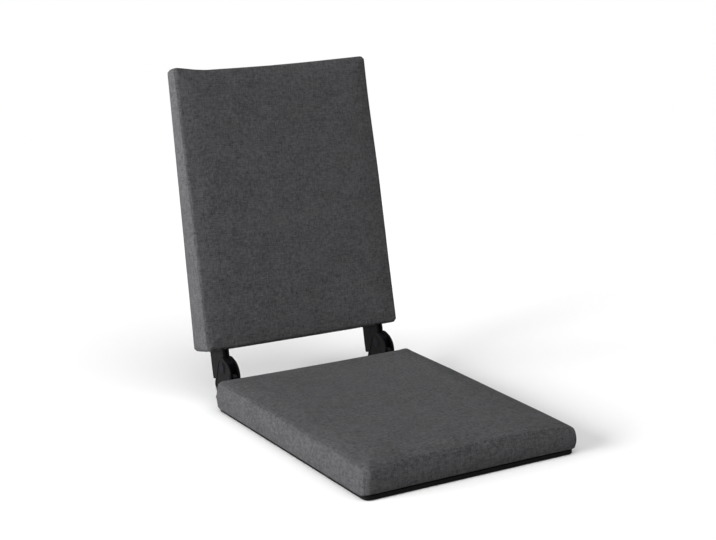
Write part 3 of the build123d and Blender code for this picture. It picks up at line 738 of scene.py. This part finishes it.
MATERIALS = {
    # one fabric in two copies: the seat's is painted darker and the back's lighter, as light and shade on
    # the two pads
    "upholstery": upholstery("seat_cloth", lean=0.0, painted_shade=0.885),
    "foam": soft_filling("cushion_foam", (0.82, 0.79, 0.66), scale=900.0),
    "wadding": soft_filling("polyester_wadding", (0.85, 0.85, 0.84), scale=300.0),
    "plywood": plywood("birch_plywood", (0.66, 0.52, 0.34), (0.47, 0.33, 0.19), two_plies=0.0029),
    "black_base": moulded(
        "black_board", (0.0022, 0.0022, 0.0024),
        rough=0.7, grain_scale=1300.0, grain_depth=0.00008, shine=0.06,
    ),
    "grip_rubber": ribbed_rubber(
        "grip_rubber_sheet", (0.004, 0.004, 0.004), dusty=(0.011, 0.011, 0.0105),
        stud_pitch=0.006, shine=0.1,
    ),
    "black_metal": coated_steel(
        "black_powder_coat", (0.0034, 0.0034, 0.0037), rough=0.42, peel=0.00005, shine=0.03,
    ),
    "gear_steel": turned_steel(
        "blackened_gear_steel", (0.008, 0.008, 0.0086), rough=0.45, metal=0.2, shine=0.06,
    ),
    "dark_pins": turned_steel(
        "blackened_pins", (0.006, 0.006, 0.0064), rough=0.45, metal=0.1, shine=0.04,
    ),
    "washer_plastic": moulded(
        "nylon_washer", (0.02, 0.02, 0.02), rough=0.5, grain_scale=2600.0, grain_depth=0.00003,
    ),
    "spring_steel": turned_steel("tempered_spring", (0.16, 0.17, 0.24), rough=0.3, metal=1.0),
    "plated_steel": turned_steel("zinc_plate", (0.62, 0.62, 0.60), rough=0.32, metal=1.0),
}
slot_of = {row["node"]: row["material_slot"] for row in frame["record"]["subparts"]}
for name, obj in nodes.items():
    obj.data.materials.clear()
    obj.data.materials.append(MATERIALS[slot_of[name]])

# ------------------------------------------------------------------ pads
seat_pad = make_pad(
    "seat_pad", SEAT, seat_shape,
    low_at=lambda y: SEAT["low"] + BOARD_GAP + 0 * y,
    high_at=lambda y: SEAT["high"] - START_INSET + 0 * y,
    cap=2.2, matrix=Matrix.Identity(4), cloth=MATERIALS["upholstery"], body="seat",
    replaced=("seat_cover", "seat_foam"), seed=3.1,
)


def back_rear_height(y):
    """Height of the rear face in the back pad's own axes, where the front face is up."""
    share = between(y, BACK["start"], BACK["end"])
    return -(BACK["low_rear"] + share * (BACK["top_rear"] - BACK["low_rear"])) + START_INSET


lean_sine, lean_cosine = math.sin(BACK_TILT), math.cos(BACK_TILT)
back_axes = Matrix(((1, 0, 0), (0, lean_sine, -lean_cosine), (0, lean_cosine, lean_sine))).to_4x4()
back_axes.translation = Vector(PIVOT) * MM
# the back's copy of the cloth is painted lighter than the seat's, for the light that falls on the back
back_pad = make_pad(
    "back_pad", BACK, back_shape,
    low_at=back_rear_height, high_at=lambda y: BACK["front"] - START_INSET + 0 * y,
    cap=2.0, matrix=back_axes, cloth=upholstery("back_cloth", lean=BACK_TILT, painted_shade=0.95), body="back",
    replaced=("back_cover", "back_foam", "back_wadding"), seed=8.4,
)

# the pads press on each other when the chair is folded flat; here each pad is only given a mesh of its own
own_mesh(seat_pad)
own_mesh(back_pad)

# ------------------------------------------------------------------ the pawls' leaf springs, cut across so that they can bend
LEAF_FOOT = (261.5, 26.5)  # y and z in mm, where the leaf starts to bend, and where it meets the pawl
LEAF_TIP = (267.0, 36.5)
LEAF_CUTS = 8


def spring_leaf(side):
    """The pawl's spring, cut across between its foot and its tip so that it can bend."""
    solid = nodes[f"{side}_pawl_spring"]
    form = bmesh.new()
    form.from_mesh(solid.data)
    for step in range(LEAF_CUTS):
        height = LEAF_FOOT[1] + (LEAF_TIP[1] - LEAF_FOOT[1]) * step / (LEAF_CUTS - 1)
        bmesh.ops.bisect_plane(
            form, geom=form.verts[:] + form.edges[:] + form.faces[:], dist=1e-6,
            plane_co=(0.0, 0.0, height * MM), plane_no=(0.0, 0.0, 1.0),
        )
    mesh = bpy.data.meshes.new(f"{side}_spring_leaf")
    form.to_mesh(mesh)
    form.free()
    mesh.materials.append(MATERIALS[slot_of[solid.name]])
    leaf = add_object(f"{side}_spring_leaf", mesh)
    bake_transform(leaf)
    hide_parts(solid.name)


spring_leaf("left")
spring_leaf("right")

# ------------------------------------------------------------------ floor and backdrop
FLOOR_RADIUS = 6.0
FLOOR_FADE = (1.2, 3.6)  # the paper runs out into the white world between these distances
PAPER_WHITE = (0.97, 0.97, 0.97)
PAPER_BOUNCE = (0.3, 0.3, 0.3)  # what the paper sends back at the object
ROOM_LIGHT = 0.2
WHITE = (1.0, 1.0, 1.0)

bpy.ops.mesh.primitive_circle_add(
    vertices=96, radius=FLOOR_RADIUS, fill_type="NGON", location=(0, 0, 0)
)
floor = bpy.context.object
floor.name = "studio_floor"
paper = Paint("studio_floor_paper")
paper.set(
    Base_Color=paper.mix(paper.seen(), PAPER_BOUNCE, PAPER_WHITE), Roughness=0.9,
    Specular_IOR_Level=0.1,
)
away = paper.add("VectorMath", (paper.place,), out=1, operation="LENGTH")
faded = paper.add("MixShader", (
    paper.ramp(away, *FLOOR_FADE), paper.bsdf.outputs[0], paper.add("BsdfTransparent"),
))
paper.feed(paper.output.inputs[0], faded)
floor.data.materials.append(paper.material)

world = bpy.data.worlds.new("studio")
scene.world = world
world.use_nodes = True
sky = Nodes(world.node_tree, "ShaderNodeOutputWorld")
room, white = (sky.add("Background", (WHITE, strength)) for strength in (ROOM_LIGHT, 1.0))
sky.feed(sky.output.inputs[0], sky.add("MixShader", (sky.seen(), room, white)))


# ------------------------------------------------------------------ light and camera
def wide_light(name, towards, spread, strength):
    """Even light from one side, as from a large diffuser far away."""
    light = bpy.data.lights.new(name, "SUN")
    light.angle = math.radians(spread)
    light.energy = strength
    obj = add_object(name, light)
    obj.location = Vector(towards)
    obj.rotation_euler = Vector(towards).to_track_quat("Z", "Y").to_euler()


wide_light("key_left", towards=(-0.992, 0.0, 0.126), spread=46.0, strength=8.7)
wide_light("front_above", towards=(0.0, -0.574, 0.819), spread=80.0, strength=1.85)

CAMERA_DOWN, CAMERA_TURN = 13.425, -31.28  # degrees below level, and from straight ahead

camera_data = bpy.data.cameras.new("camera")
camera_data.sensor_fit = "HORIZONTAL"
camera_data.sensor_width = 36.0
camera_data.lens = 75.47
camera_data.clip_end = 60.0
camera = add_object("camera", camera_data)
camera.location = (-1.2966, -2.0334, 0.8564)
camera.rotation_euler = (math.radians(90 - CAMERA_DOWN), 0.0, math.radians(CAMERA_TURN))
scene.camera = camera
scene.view_settings.view_transform = "Standard"
